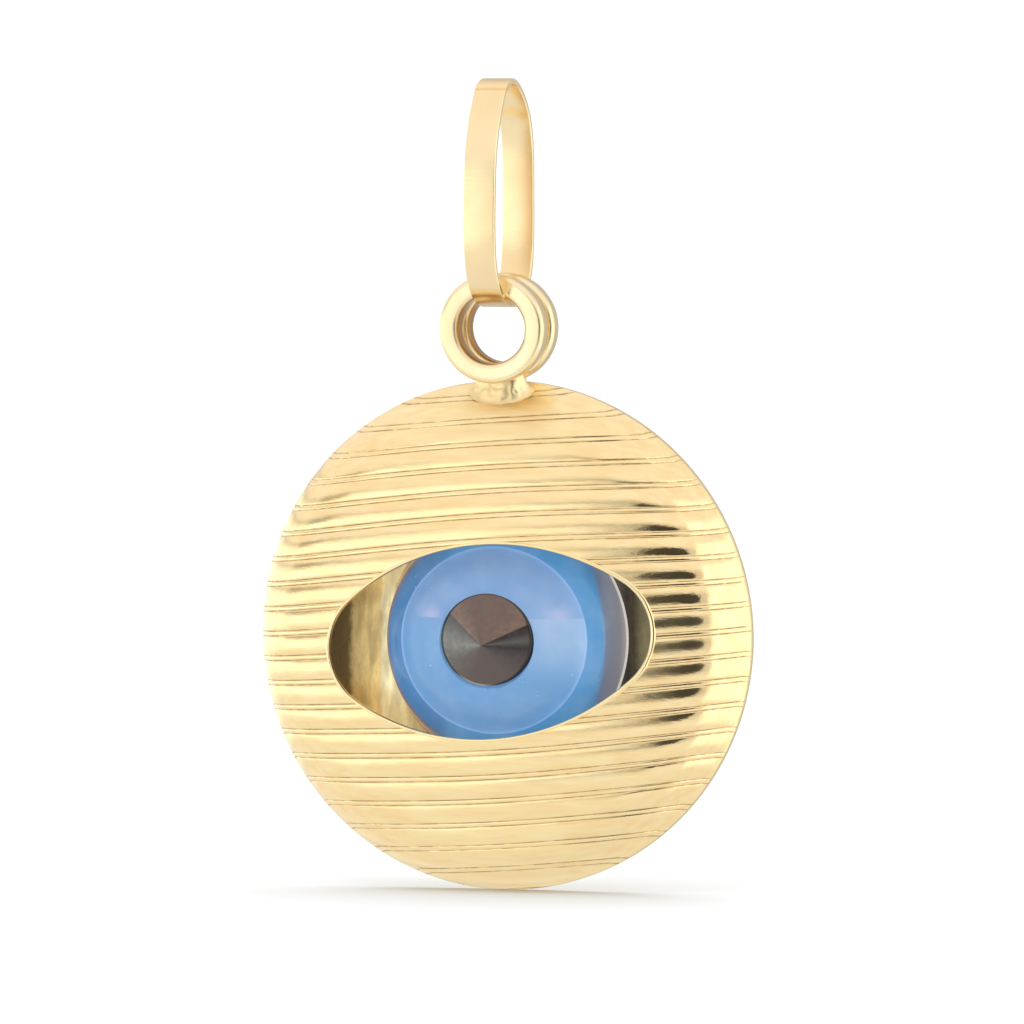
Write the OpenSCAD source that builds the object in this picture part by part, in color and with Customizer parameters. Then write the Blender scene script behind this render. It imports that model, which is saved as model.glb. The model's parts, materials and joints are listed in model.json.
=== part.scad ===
// Round eye pendant in yellow gold: a thin ribbed dome with an almond window over a blue
// glass eye, closed by a flat back, with two rings soldered on top and a flat oval bail
// through them. Millimetres. The origin is the middle of the bail's inner top, where the
// chain lies. X points right, the front faces -Y and Z points up.

/* [Bail] */
// width of the flat strip
bail_w = 1.0; // [0.6:0.05:1.4]
// thickness of the strip
bail_t = 0.2; // [0.14:0.01:0.3]
// height of the loop over the outside
bail_h = 7.12; // [6.4:0.05:9]
// how far the loop reaches forward of the chain
bail_front = 2.17; // [2:0.05:2.8]
// how far the loop reaches behind the chain
bail_rear = 2.18; // [1.9:0.05:2.6]

/* [Rings] */
// outer diameter of each ring
ring_od = 3.4; // [3:0.05:3.8]
// hole of each ring
ring_id = 2.14; // [1.9:0.02:2.4]
// thickness of each ring, front to back
ring_t = 0.68; // [0.4:0.05:0.8]
// space between the two rings
ring_space = 0.5; // [0.3:0.05:0.8]
// bevel on the edges of the rings
ring_bevel = 0.12; // [0.05:0.01:0.18]
// width of the solder under the rings
neck_w = 1.86; // [1.3:0.02:2.2]
// how far down the case the solder runs
neck_run = 0.65; // [0.4:0.05:0.9]
// how far the rings sink into the rim
ring_sink = 0.04; // [0.02:0.01:0.1]

/* [Case] */
// diameter of the case
case_d = 15.9; // [14:0.1:18]
// height of the dome over the front of the rim
dome_h = 2.45; // [1.8:0.05:3]
// radius of the crown of the dome
crown_r = 22; // [16:0.5:40]
// radius where the dome turns down to the rim
shoulder_r = 2.6; // [1.8:0.1:3.2]
// height of the straight rim
rim_t = 0.35; // [0.3:0.01:0.6]
// thickness of the gold sheet
sheet_t = 0.27; // [0.2:0.01:0.4]
// how far the back of the case lies behind the rings' back
back_step = 0.13; // [0:0.02:0.5]

/* [Grooves] */
// distance from groove to groove on the flat blank
groove_pitch = 0.775; // [0.7:0.005:1]
// width of each groove
groove_w = 0.12; // [0.06:0.01:0.2]
// depth of each groove
groove_deep = 0.05; // [0.02:0.01:0.08]
// number of grooves
groove_count = 20; // [8:1:20]
// how far the grooves spread in the middle when the blank is pressed
groove_spread = 0.093; // [0:0.001:0.15]
// height of the middle of the grooves over the middle of the case
groove_shift = 0.14; // [-0.4:0.01:0.4]
// slope of the grooves, rising to the right, degrees
groove_tilt = 4.3; // [0:0.1:10]

/* [Window] */
// width of the almond window
window_w = 10.46; // [8:0.02:12]
// height of the almond window
window_h = 6.04; // [4:0.02:7]
// radius of the corners of the window
window_tip = 1.9; // [0.8:0.05:2.2]
// slope of the window, degrees
window_tilt = 5.3; // [-8:0.1:8]
// how far the window and the eye sit below the middle of the case
window_drop = 0.08; // [0:0.01:0.4]

/* [Eye] */
// diameter of the glass at its foot
glass_d = 7.96; // [7:0.02:9]
// height of the glass, foot to crown
glass_h = 2.35; // [2:0.05:2.6]
// diameter of the pale iris
iris_d = 5.84; // [5:0.02:6.6]
// diameter of the dark pupil
pupil_d = 2.9; // [2:0.02:3.6]
// height of the point of the pupil
pupil_point = 0.42; // [0.1:0.02:0.6]
// depth of the pupil's seat in the iris
pupil_seat = 0.3; // [0.15:0.01:0.45]
// space kept between the pieces of the eye
eye_gap = 0.02; // [0.01:0.005:0.04]

/* [Hidden] */
$fn = 96;
top_z = bail_t;
foot_z = bail_t - bail_h;
hang_gap = 0.01;

// the loop: circles [y, z, radius] under one tight strip, taken round from the crest
// over the front. Radii and depths are shares of the loop's depth, heights are shares of
// its height, and all the circles share their centres between outside and inside.
bail_deep = bail_front + bail_rear;
function arc_r(share) = share * bail_deep;
loop = [
  [-0.011 * bail_deep, top_z - arc_r(0.138), arc_r(0.138)],
  [0.356 * bail_deep - bail_front, top_z - arc_r(0.085), arc_r(0.08)],
  [0.48 * bail_deep - bail_front, top_z - 0.351 * bail_h, arc_r(0.46)],
  [arc_r(0.494) - bail_front, top_z - 0.59 * bail_h, arc_r(0.494)],
  [arc_r(0.419) - bail_front, foot_z + arc_r(0.414), arc_r(0.414)],
  [bail_rear - arc_r(0.368), foot_z + arc_r(0.368), arc_r(0.368)],
  [bail_rear - arc_r(0.391), top_z - 0.302 * bail_h, arc_r(0.391)]
];
function away(a, b) = atan2(b[1] - a[1], b[0] - a[0])
  - acos((a[2] - b[2]) / norm([b[0] - a[0], b[1] - a[1]]));
function edge_pts(d) = [for (i = [0:len(loop) - 1])
  let (a = loop[i], b = loop[(i + 1) % len(loop)], n = away(a, b)) each [
    [a[0] + (a[2] - d) * cos(n), a[1] + (a[2] - d) * sin(n)],
    [b[0] + (b[2] - d) * cos(n), b[1] + (b[2] - d) * sin(n)]]];

// the rings hang on the two upper corners of the strip
ring_half = ring_t + ring_space / 2;
function rise(c) = let (r = c[2] - bail_t, s = max(0, ring_half - ring_bevel - abs(c[0])))
  r - sqrt(r * r - s * s);
hole_z = foot_z + bail_t + max(rise(loop[4]), rise(loop[5]))
  - sqrt(pow(ring_id / 2, 2) - pow(bail_w / 2, 2)) + hang_gap;

// the case: crown arc and shoulder arc meet smoothly, the shoulder ends on the rim
case_r = case_d / 2;
case_z = hole_z - ring_od / 2 - case_r + ring_sink;
back_y = ring_half + back_step;
rim_y = back_y - rim_t;
crown_c = dome_h - crown_r;
reach = norm([case_r, crown_c]);
along = (pow(crown_r - shoulder_r, 2) - pow(shoulder_r, 2) + reach * reach) / (2 * reach);
across = sqrt(pow(crown_r - shoulder_r, 2) - along * along);
shoulder_c = [
  (along * case_r + across * crown_c) / reach,
  crown_c + (across * case_r - along * crown_c) / reach];
turn = atan2(shoulder_c[0], shoulder_c[1] - crown_c);

// height of a groove; pressing spreads the grooves towards the rim
function groove_z(k) = let (t = (k - (groove_count - 1) / 2) * groove_pitch,
  inside = max(0, 1 - pow(t / case_r, 2)))
  groove_shift + t * (1 + groove_spread * pow(inside, 2));

// the window
half_w = window_w / 2;
half_h = window_h / 2;
lid_r = (half_w * half_w + half_h * half_h - 2 * half_w * window_tip)
  / (2 * (half_h - window_tip));
lid_turn = atan2(lid_r - half_h, half_w - window_tip);

// the eye, heights measured forward from the inside of the back
floor_y = back_y - sheet_t;
foot_y = floor_y - eye_gap;
glass_r = (pow(glass_d / 2, 2) + glass_h * glass_h) / (2 * glass_h);
eye_z = case_z - window_drop;
ball_y = foot_y + glass_r - glass_h;
iris_y = ball_y - sqrt(pow(glass_r, 2) - pow(iris_d / 2, 2));
pupil_y = ball_y - sqrt(pow(glass_r, 2) - pow(pupil_d / 2 + eye_gap, 2));

module loop_area(d) {
  polygon(edge_pts(d));
  for (c = loop) translate([c[0], c[1]]) circle(c[2] - d);
}

module bail() {
  color([0.9, 0.76, 0.45])
  rotate([90, 0, 90]) translate([0, 0, -bail_w / 2]) linear_extrude(bail_w)
    difference() { loop_area(0); loop_area(bail_t); }
}

// turns a shape drawn with its axis up so that up faces the front, on the case's centre
module facing(y, z) { translate([0, y, z]) rotate([90, 0, 0]) children(); }

// half section of the dome, d inside its outer skin, cut off below at low
module dome_area(d, low) {
  high = dome_h + 1;
  split_low = [shoulder_c[0] + (low - shoulder_c[1]) * tan(turn), low];
  split_high = [(high - crown_c) * tan(turn), high];
  intersection() {
    translate([0, crown_c]) circle(crown_r - d, $fn = 720);
    polygon([[0, low], [0, high], split_high, split_low]);
  }
  intersection() {
    translate(shoulder_c) circle(shoulder_r - d, $fn = 180);
    polygon([split_low, split_high, [case_r + 1, high], [case_r + 1, low]]);
  }
}

module dome_body(d, low) { rotate_extrude($fn = 360) dome_area(d, low); }

module almond(r_lid, r_tip) {
  intersection() {
    translate([0, half_h - lid_r]) circle(r_lid, $fn = 360);
    translate([0, lid_r - half_h]) circle(r_lid, $fn = 360);
    x0 = half_w - window_tip;
    far = (half_h + 1) / sin(lid_turn);
    polygon([[-x0, 0], [-x0 - far * cos(lid_turn), far * sin(lid_turn)],
      [x0 + far * cos(lid_turn), far * sin(lid_turn)], [x0, 0],
      [x0 + far * cos(lid_turn), -far * sin(lid_turn)],
      [-x0 - far * cos(lid_turn), -far * sin(lid_turn)]]);
  }
  for (s = [-1, 1]) translate([s * (half_w - window_tip), 0]) circle(r_tip);
}

module ring() {
  r0 = ring_id / 2;
  r1 = ring_od / 2;
  b = ring_bevel;
  rotate_extrude($fn = 96) polygon([[r0 + b, 0], [r1 - b, 0], [r1, b], [r1, ring_t - b],
    [r1 - b, ring_t], [r0 + b, ring_t], [r0, ring_t - b], [r0, b]]);
}

// the solder under the rings, running down on to the dome
module neck() {
  neck_top = hole_z - ring_od / 2 + 0.3;
  intersection() {
    translate([-neck_w / 2, 0, 0]) rotate([90, 0, 90]) linear_extrude(neck_w)
      polygon([[ring_bevel + 0.05 - ring_half, neck_top], [ring_half, neck_top],
        [ring_half, case_z + case_r - 0.45],
        [0.3, case_z + case_r - neck_run - 0.1],
        [-0.24, case_z + case_r - neck_run]]);
    translate([0, 0.12, case_z + case_r - 2]) cylinder(d = neck_w + 0.14, h = 4);
  }
}

module ring_case() {
  color([0.92, 0.78, 0.47])
  difference() {
    union() {
      difference() {
        facing(rim_y, case_z) {
          dome_body(0, 0);
          translate([0, 0, -rim_t]) cylinder(r = case_r, h = rim_t, $fn = 360);
        }
        facing(rim_y, case_z) intersection() {
          rotate([0, 0, groove_tilt]) for (k = [0:groove_count - 1])
            translate([-case_r - 1, groove_z(k) - groove_w / 2, 0.05])
              cube([case_d + 2, groove_w, dome_h + 1]);
          difference() {
            cylinder(r = case_r + 0.5, h = dome_h + 0.5, $fn = 360);
            dome_body(groove_deep, -0.1);
          }
        }
      }
      for (y = [-ring_space / 2, ring_half]) facing(y, hole_z) ring();
      neck();
    }
    facing(rim_y, case_z) dome_body(sheet_t, sheet_t - rim_t);
    facing(rim_y, eye_z) rotate([0, 0, window_tilt]) translate([0, 0, 0.5])
      linear_extrude(dome_h + 1) almond(lid_r, window_tip);
  }
}

module ball() { translate([0, ball_y, eye_z]) sphere(r = glass_r, $fn = 180); }

module slab(y_from, y_to, d) {
  facing(y_to, eye_z) cylinder(r = d / 2, h = y_to - y_from, $fn = 180);
}

module glass_eye() {
  color([0.36, 0.55, 0.78])
  intersection() { ball(); slab(iris_y + eye_gap, foot_y, glass_d + 1); }
}

module iris() {
  color([0.5, 0.66, 0.85])
  difference() {
    intersection() { ball(); slab(iris_y - 2, iris_y, iris_d); }
    slab(ball_y - glass_r - 1, pupil_y + pupil_seat, pupil_d + 2 * eye_gap);
  }
}

module pupil() {
  color([0.3, 0.26, 0.25])
  facing(pupil_y + pupil_seat - eye_gap, eye_z) {
    cylinder(d = pupil_d, h = pupil_seat - eye_gap, $fn = 120);
    translate([0, 0, pupil_seat - eye_gap])
      cylinder(d1 = pupil_d, d2 = 0.3, h = pupil_point, $fn = 120);
  }
}

bail();
ring_case();
glass_eye();
iris();
pupil();
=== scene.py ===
# %% [markdown]
# # An evil eye pendant in yellow gold and blue glass
# The pendant is a thin stamped dome of gold with engraved grooves and an almond window.
# Behind the window sits a round blue glass eye. Two rings are soldered on top, and a
# flat strip of gold, the bail, runs through both of them and carries the chain.
# The solids come from the CAD model. This notebook dresses them: it loads them as a fixed
# frame, makes a finer piece for each of them, and lets each piece ride on its body.

# %% Load the frame
import json
import math

import bmesh
import bpy
from mathutils import Matrix, Vector, noise

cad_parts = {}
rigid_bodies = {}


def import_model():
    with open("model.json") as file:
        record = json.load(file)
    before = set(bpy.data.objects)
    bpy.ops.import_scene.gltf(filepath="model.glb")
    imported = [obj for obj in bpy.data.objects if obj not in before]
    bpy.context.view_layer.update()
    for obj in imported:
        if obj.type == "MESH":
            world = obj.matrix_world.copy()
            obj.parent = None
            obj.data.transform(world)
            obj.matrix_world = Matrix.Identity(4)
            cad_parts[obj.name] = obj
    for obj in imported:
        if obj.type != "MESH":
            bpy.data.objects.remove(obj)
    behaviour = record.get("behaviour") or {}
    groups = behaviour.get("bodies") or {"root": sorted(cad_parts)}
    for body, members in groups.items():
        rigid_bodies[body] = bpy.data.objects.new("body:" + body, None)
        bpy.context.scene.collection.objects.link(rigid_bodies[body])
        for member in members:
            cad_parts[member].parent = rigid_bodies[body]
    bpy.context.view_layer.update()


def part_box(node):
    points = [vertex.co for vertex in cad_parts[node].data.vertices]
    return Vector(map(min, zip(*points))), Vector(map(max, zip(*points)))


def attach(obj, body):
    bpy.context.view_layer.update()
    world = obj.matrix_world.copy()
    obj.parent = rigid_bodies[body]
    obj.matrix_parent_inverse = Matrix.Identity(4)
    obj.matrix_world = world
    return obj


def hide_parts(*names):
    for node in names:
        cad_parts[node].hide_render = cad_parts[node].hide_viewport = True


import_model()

# %% [markdown]
# ## Sizes
# Every size is in millimetres here and is turned into metres when a mesh is made. The case
# and the bail take their place from the boxes of the solids, so they sit where the CAD
# says they sit.

# %% Sizes shared by the pieces
MM = 0.001
case_lo, case_hi = (Vector(c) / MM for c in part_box("ring_case"))
bail_lo, bail_hi = (Vector(c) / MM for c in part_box("bail"))

CASE_R = (case_hi.x - case_lo.x) / 2
BACK_Y = case_hi.y
CASE_Z = case_lo.z + CASE_R
RIM_T, SHEET_T = 0.35, 0.27
RIM_Y = BACK_Y - RIM_T
DOME_H, CROWN_R, SHOULDER_R = 2.45, 22.0, 2.6
RING_R_OUT, RING_R_IN, RING_T, RING_SPACE = 1.70, 1.07, 0.68, 0.50
HOLE_Z = case_hi.z - RING_R_OUT
EYE_Z = CASE_Z - 0.08
print("case radius %.3f, centre height %.3f, ring height %.3f" % (CASE_R, CASE_Z, HOLE_Z))

# %% [markdown]
# ## Camera
# The photograph was taken from about 17 degrees to the right and 3 degrees above, with a
# long lens. A long lens is easy to imitate: the camera stands far away and its focal
# length is chosen so that the frame is 31.9 mm wide at the rim of the case. The disc's
# middle is 507 pixels from the frame's left and 635 from its top, so the camera aims off it.

# %% Camera at the photograph's angle
def linked(name, data):
    """A new object in the scene."""
    obj = bpy.data.objects.new(name, data)
    bpy.context.scene.collection.objects.link(obj)
    return obj


AZ, EL = math.radians(16.7), math.radians(3.0)
FAR, FRAME_PX, PX = 400.0, 1024, 32.08
DISC_ACROSS, DISC_DOWN = 507.15, 634.9
right = Vector((math.cos(AZ), math.sin(AZ), 0))
back = Vector((math.sin(AZ) * math.cos(EL), -math.cos(AZ) * math.cos(EL), math.sin(EL)))
up = back.cross(right)
rim_middle = Vector((0, BACK_Y - RIM_T / 2, CASE_Z))
aim = (rim_middle + right * ((FRAME_PX / 2 - DISC_ACROSS) / PX)
       + up * ((DISC_DOWN - FRAME_PX / 2) / PX))
cam_data = bpy.data.cameras.new("camera")
cam_data.sensor_width = 36
cam_data.lens = cam_data.sensor_width * FAR / (FRAME_PX / PX)
cam_data.clip_start, cam_data.clip_end = 0.01, 10
camera = linked("camera", cam_data)
camera.matrix_world = Matrix.Translation((aim + back * FAR) * MM) @ Matrix(
    (right, up, back)).transposed().to_4x4()
bpy.context.scene.camera = camera
print("focal length %.0f mm" % cam_data.lens)

# %% [markdown]
# ## Helpers for nodes and meshes
# A node tree is a chain of small sums. These helpers add one node, join what goes into it
# and hand back what comes out, so that a rule reads almost like the formula it stands for.
# The mesh helpers do what every piece needs: merge its points, turn its faces outwards,
# shade it, and put it on its body.

# %% Node helpers
def plug(tree, socket, value):
    """Join an output to a socket, or set the socket to a plain value."""
    if isinstance(value, bpy.types.NodeSocket):
        tree.links.new(value, socket)
    elif value is not None:
        socket.default_value = value


class Sums:
    """Nodes of one tree, shader or geometry, that reckon with numbers and places."""

    def __init__(self, tree):
        self.tree = tree

    def __getattr__(self, name):
        """Whatever a Math node can do, such as add, divide or power."""
        return lambda *ins: self.put("ShaderNodeMath", *ins, operation=name.upper())

    def put(self, kind, *ins, out=0, **props):
        """Add a node, set its properties, plug or set its inputs, return one output."""
        n = self.tree.nodes.new(kind)
        for name, value in props.items():
            setattr(n, name, value)
        for socket, value in zip(n.inputs, ins):
            plug(self.tree, socket, value)
        return n.outputs[out]

    def smooth(self, value, low, high, to_low=0.0, to_high=1.0):
        """A soft step from to_low to to_high while the value goes from low to high."""
        return self.put("ShaderNodeMapRange", value, low, high, to_low, to_high,
                        interpolation_type="SMOOTHSTEP", clamp=True)

    def between(self, value, low, high, soft):
        """1 inside the range, 0 outside it, with soft edges."""
        rise = self.smooth(value, low - soft, low + soft)
        fall = self.smooth(value, high - soft, high + soft, 1.0, 0.0)
        return self.multiply(rise, fall)

    def share(self, value, low, high):
        """How far the value has come from low to high, 0 to 1."""
        return self.put("ShaderNodeMapRange", value, low, high, 0.0, 1.0)

    def product(self, first, *rest):
        for value in rest:
            first = self.multiply(first, value)
        return first

    def length(self, a, b):
        return self.sqrt(self.add(self.multiply(a, a), self.multiply(b, b)))

    def metres(self, value):
        return self.multiply(value, MM)

    def point(self, x, y, z):
        return self.put("ShaderNodeCombineXYZ", x, y, z)

    def vector(self, op, *ins, out=0):
        return self.put("ShaderNodeVectorMath", *ins, operation=op, out=out)

    def scaled(self, place, factor):
        return self.vector("SCALE", place, None, None, factor)

    def in_mm(self, place):
        """The x, y and z of a place, in millimetres."""
        return self.put("ShaderNodeSeparateXYZ", self.scaled(place, 1 / MM)).node.outputs

    def grain(self, place, fine, detail=3.0, rough=0.6, out=0):
        """Noise over a place; a larger fine makes smaller grains."""
        return self.put("ShaderNodeTexNoise", place, None, fine, detail, rough, out=out)


# %% Geometry trees
def new_tree(name, values):
    """The sums of a new geometry tree, and its inputs, one named for each value."""
    tree = bpy.data.node_groups.new(name, "GeometryNodeTree")
    for way in ("INPUT", "OUTPUT"):
        tree.interface.new_socket("Geometry", in_out=way, socket_type="NodeSocketGeometry")
    for label, value in values.items():
        kind = "NodeSocket" + {int: "Int", float: "Float"}.get(type(value), "Material")
        tree.interface.new_socket(label, in_out="INPUT", socket_type=kind).default_value = value
    return Sums(tree), {s.name: s for s in tree.nodes.new("NodeGroupInput").outputs}


def finish_tree(s, geometry, material):
    """Every tree ends the same way: real geometry and a material."""
    real = s.put("GeometryNodeRealizeInstances", geometry)
    end = s.tree.nodes.new("NodeGroupOutput")
    plug(s.tree, end.inputs[0], s.put("GeometryNodeSetMaterial", real, None, material))
    return s.tree


def applied(name, obj):
    """The plain mesh that an object's modifier makes of it; the object goes."""
    graph = bpy.context.evaluated_depsgraph_get()
    mesh = bpy.data.meshes.new_from_object(obj.evaluated_get(graph))
    mesh.name = name
    bpy.data.objects.remove(obj)
    return mesh


def grown(name, start, build, values):
    """Build a tree and run it on a mesh or a curve, with the values on its inputs."""
    tree = build(values)
    obj = linked(name + ".blank", start)
    mod = obj.modifiers.new(tree.name, "NODES")
    mod.node_group = tree
    for item in tree.interface.items_tree:
        if item.item_type == "SOCKET" and item.in_out == "INPUT" and item.name in values:
            mod[item.identifier] = values[item.name]
    return applied(name, obj)


# %% Mesh helpers
def mesh_from(name, points, faces, smooth=True):
    """A mesh from points in millimetres."""
    mesh = bpy.data.meshes.new(name)
    mesh.from_pydata([Vector(p) * MM for p in points], [], faces)
    mesh.polygons.foreach_set("use_smooth", [smooth] * len(mesh.polygons))
    mesh.update()
    return mesh


def tube_faces(rows, around):
    """The faces between closed rows of points that follow each other."""
    return [(u * around + j, u * around + (j + 1) % around,
             (u + 1) * around + (j + 1) % around, (u + 1) * around + j)
            for u in range(rows - 1) for j in range(around)]


def outwards(mesh, merge=0.0):
    """Merge points closer than this, in metres, and turn the faces outwards."""
    bm = bmesh.new()
    bm.from_mesh(mesh)
    if merge:
        bmesh.ops.remove_doubles(bm, verts=bm.verts, dist=merge)
    bmesh.ops.recalc_face_normals(bm, faces=bm.faces)
    bm.to_mesh(mesh)
    bm.free()
    return mesh


def shaded(mesh, sharp):
    """Shade smooth, with a sharp edge wherever faces turn more than this, in degrees."""
    mesh.polygons.foreach_set("use_smooth", [True] * len(mesh.polygons))
    mesh.set_sharp_from_angle(angle=math.radians(sharp))
    return mesh


def tidy(mesh, sharp=50):
    return shaded(outwards(mesh, 1e-7), sharp)


def show(name, mesh, body, slot, *nodes):
    """Link a finished mesh, ride it on its body and hide the solids it stands for."""
    obj = linked(name, mesh)
    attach(obj, body)
    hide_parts(*nodes)
    size = [round(v / MM, 2) for v in obj.dimensions]
    print("%s: %d faces, size %s mm" % (name, len(mesh.polygons), size))


# %% [markdown]
# ## Gold
# Polished 18 carat gold is a mirror with a warm tint. A shader for it is a metallic surface with
# a low roughness; what makes it look real is what it mirrors, and the small marks of the
# polishing wheel. Two tones drift into each other over every piece. The marks are fine lines
# along the strip or the grooves, so there the noise is drawn out along X. The engraved channels
# are duller, because the wheel doesn't reach into them, and they are coloured darker; the dome
# carries an attribute that marks them. The dome is dull round the solder too.

# %% Colour helpers
class Colours(Sums):
    """Sums of a shader's tree, and what a shader needs besides."""

    def blend(self, share, *pair):
        """Mix two colours, each a socket or its red, green and blue."""
        pair = (c if isinstance(c, bpy.types.NodeSocket) else (*c, 1) for c in pair)
        return self.put("ShaderNodeMix", share, *[None] * 5, *pair, data_type="RGBA", out=2)

    def ramp(self, value, stops):
        """A colour ramp; a stop is a place from 0 to 1 and a colour."""
        out = self.put("ShaderNodeValToRGB", value)
        bar = out.node.color_ramp
        while len(bar.elements) < len(stops):
            bar.elements.new(0.5)
        for e, (at, colour) in zip(bar.elements, stops):
            e.position, e.color = at, (*colour, 1)
        return out

    def stretched(self, place, across, up=1.0):
        """A place for a pattern that is drawn out along X or Z."""
        return self.put("ShaderNodeMapping", place, None, None, (across, 1.0, up))


def new_material(name):
    """A material, its sums and the place on the piece."""
    mat = bpy.data.materials.new(name)
    mat.use_nodes = True
    s = Colours(mat.node_tree)
    return mat, s, s.put("ShaderNodeTexCoord", out=3)


def set_shader(mat, looks):
    """Plug or set the shader's sockets by name, and hand the material back."""
    tree = mat.node_tree
    for name, value in looks.items():
        plug(tree, tree.nodes["Principled BSDF"].inputs[name], value)
    return mat


# %% Gold material
GOLD, GOLD_DEEP = (1.0, 0.82, 0.462), (0.965, 0.70, 0.345)
# The crease tone is painted shade in the bail's fold.
GOLD_LINE, GOLD_CREASE = (0.36, 0.22, 0.09), (0.80, 0.47, 0.17)
MARK_DEPTH, CREASE_Z = 0.004, -0.17
HEATED = (0.3, -0.6, CASE_Z + CASE_R - 0.7)


def gold(name, drawn=1.0, engraved=False, grain=0.0, pair=(GOLD, GOLD_DEEP), drift=0.9,
         marks=0.12, wall=None, wall_colour=GOLD_CREASE):
    """Metal of two tones; wall is a rule for where painted shade shows in a third one."""
    mat, s, place = new_material(name)
    lines = s.stretched(place, drawn)
    broad = s.grain(place, 420.0, 2.0, 0.5)
    rough = s.smooth(broad, 0.3, 0.7, 0.10 + grain, 0.18 + grain)
    tones = s.grain(lines, 3600.0) if engraved else broad
    colour = s.blend(s.smooth(tones, 0.3, 0.75, 0.0, drift), *pair)
    if engraved:
        breaks = s.stretched(place, 0.35)
        mark = s.multiply(s.put("ShaderNodeAttribute", out=2, attribute_name="engraved"),
                          s.smooth(s.grain(breaks, 5200.0, 3.0, 0.65), 0.34, 0.62, 0.3, 1.0))
        away = s.vector("DISTANCE", place, Vector(HEATED) * MM, out=1)
        rough = s.add(rough, s.multiply(mark, 0.2))
        rough = s.add(rough, s.smooth(away, 1.1 * MM, 2.1 * MM, 0.28, 0.0))
        colour = s.blend(mark, colour, GOLD_LINE)
    if wall:
        colour = s.blend(wall(s, place), colour, wall_colour)
    bump = s.put("ShaderNodeBump", marks, MARK_DEPTH * MM, None, s.grain(lines, 9000.0))
    return set_shader(mat, {"Base Color": colour, "Roughness": rough, "Metallic": 1.0,
                            "Normal": bump})


# %% Where painted shade shows in a third tone
def painted_ring_shade(s, place):
    """Painted shade: the rings' walls are darker than their faces, most of all in the hole
    towards its lower left.
    """
    x, _, z = s.in_mm(place)
    z = s.subtract(z, HOLE_Z)
    r = s.length(x, z)
    shade = s.smooth(s.add(s.multiply(x, -0.8), s.multiply(z, -0.35)), 0.1, 0.7, 0.35, 1.0)
    hole = s.multiply(s.smooth(r, RING_R_IN + 0.03, RING_R_IN + 0.10, 1.0, 0.0), shade)
    return s.add(hole, s.smooth(r, RING_R_OUT - 0.08, RING_R_OUT - 0.01, 0.0, 0.2))


def painted_crease_shade(s, place):
    """The strip was folded over its front; a fine darker line across it, a hair below the top, is
    painted shade in the fold.
    """
    _, y, z = s.in_mm(place)
    z = s.add(z, s.multiply(s.subtract(s.grain(place, 3000.0, 2.0, 0.5), 0.5), 0.04))
    return s.product(s.smooth(z, CREASE_Z - 0.035, CREASE_Z),
                     s.smooth(z, CREASE_Z, CREASE_Z + 0.09, 1.0, 0.0),
                     s.smooth(y, -0.55, -0.45, 1.0, 0.0), 0.55)


# %% The five golds
dome_gold = gold("engraved gold", drawn=0.12, engraved=True, drift=0.8, marks=0.9)
plain_gold = gold("polished gold", drift=0.35)
# The rings' third tone is painted shade on their walls.
ring_gold = gold("tumbled gold", grain=0.14, pair=((1.0, 0.86, 0.55), (0.98, 0.80, 0.47)),
                 marks=0.5, wall=painted_ring_shade, wall_colour=(0.42, 0.22, 0.06))
strip_gold = gold("rolled gold", drawn=0.12, grain=0.12, marks=0.8, wall=painted_crease_shade,
                  pair=((1.0, 0.83, 0.51), (0.98, 0.74, 0.41)))
solder_gold = gold("solder", grain=0.20, pair=((1.0, 0.81, 0.46), (0.84, 0.64, 0.32)),
                   marks=1.0)
print("%d kinds of gold" % len(bpy.data.materials))

# %% [markdown]
# ## The stamped dome: the blank
# A jeweller starts from a flat round blank, engraves it and presses it over a die. The same
# order works here. The blank is a flat grid whose rows run along the engraved lines, so a
# groove's edges always fall on rows of points and stay crisp. The lines rise a little to
# the right and bow away from the middle, as pressing stretches them.

# %% Rows of the blank
PITCH, GROOVE_W = 0.7745, 0.15
TILT, SHIFT, STRETCH = math.radians(4.32), -0.250, 0.093
FIRST, LAST = -9, 10
COLUMNS = 84
ACROSS = (0.035, 0.057, 0.066, 0.075, 0.084, 0.093, 0.12, 0.17, 0.235, 0.31)


def line_height(t, s):
    """Height of the engraved line t at s along it; pressing spreads the lines."""
    v = t
    for _ in range(8):
        inside = max(1 - (s * s + v * v) / CASE_R ** 2, 0)
        v = SHIFT + t * (1 + STRETCH * inside ** 2)
    return v


def tilted(x, z, angle):
    return x * math.cos(angle) - z * math.sin(angle), x * math.sin(angle) + z * math.cos(angle)


def row_values():
    """Where the blank has rows: close together at the grooves, wider elsewhere."""
    ts = []
    for k in range(FIRST, LAST + 1):
        ts += [k * PITCH + side * a for a in ACROSS for side in (-1, 1)] + [k * PITCH]
        if k < LAST:
            ts.append((k + 0.5) * PITCH)
    for end, way in ((-CASE_R - SHIFT, -1), (CASE_R - SHIFT, 1)):
        start = min(ts) if way < 0 else max(ts)
        ts += [start + (end - start) * math.sin(math.radians(90 * i / 8)) for i in range(1, 8)]
    return sorted(ts)


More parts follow.
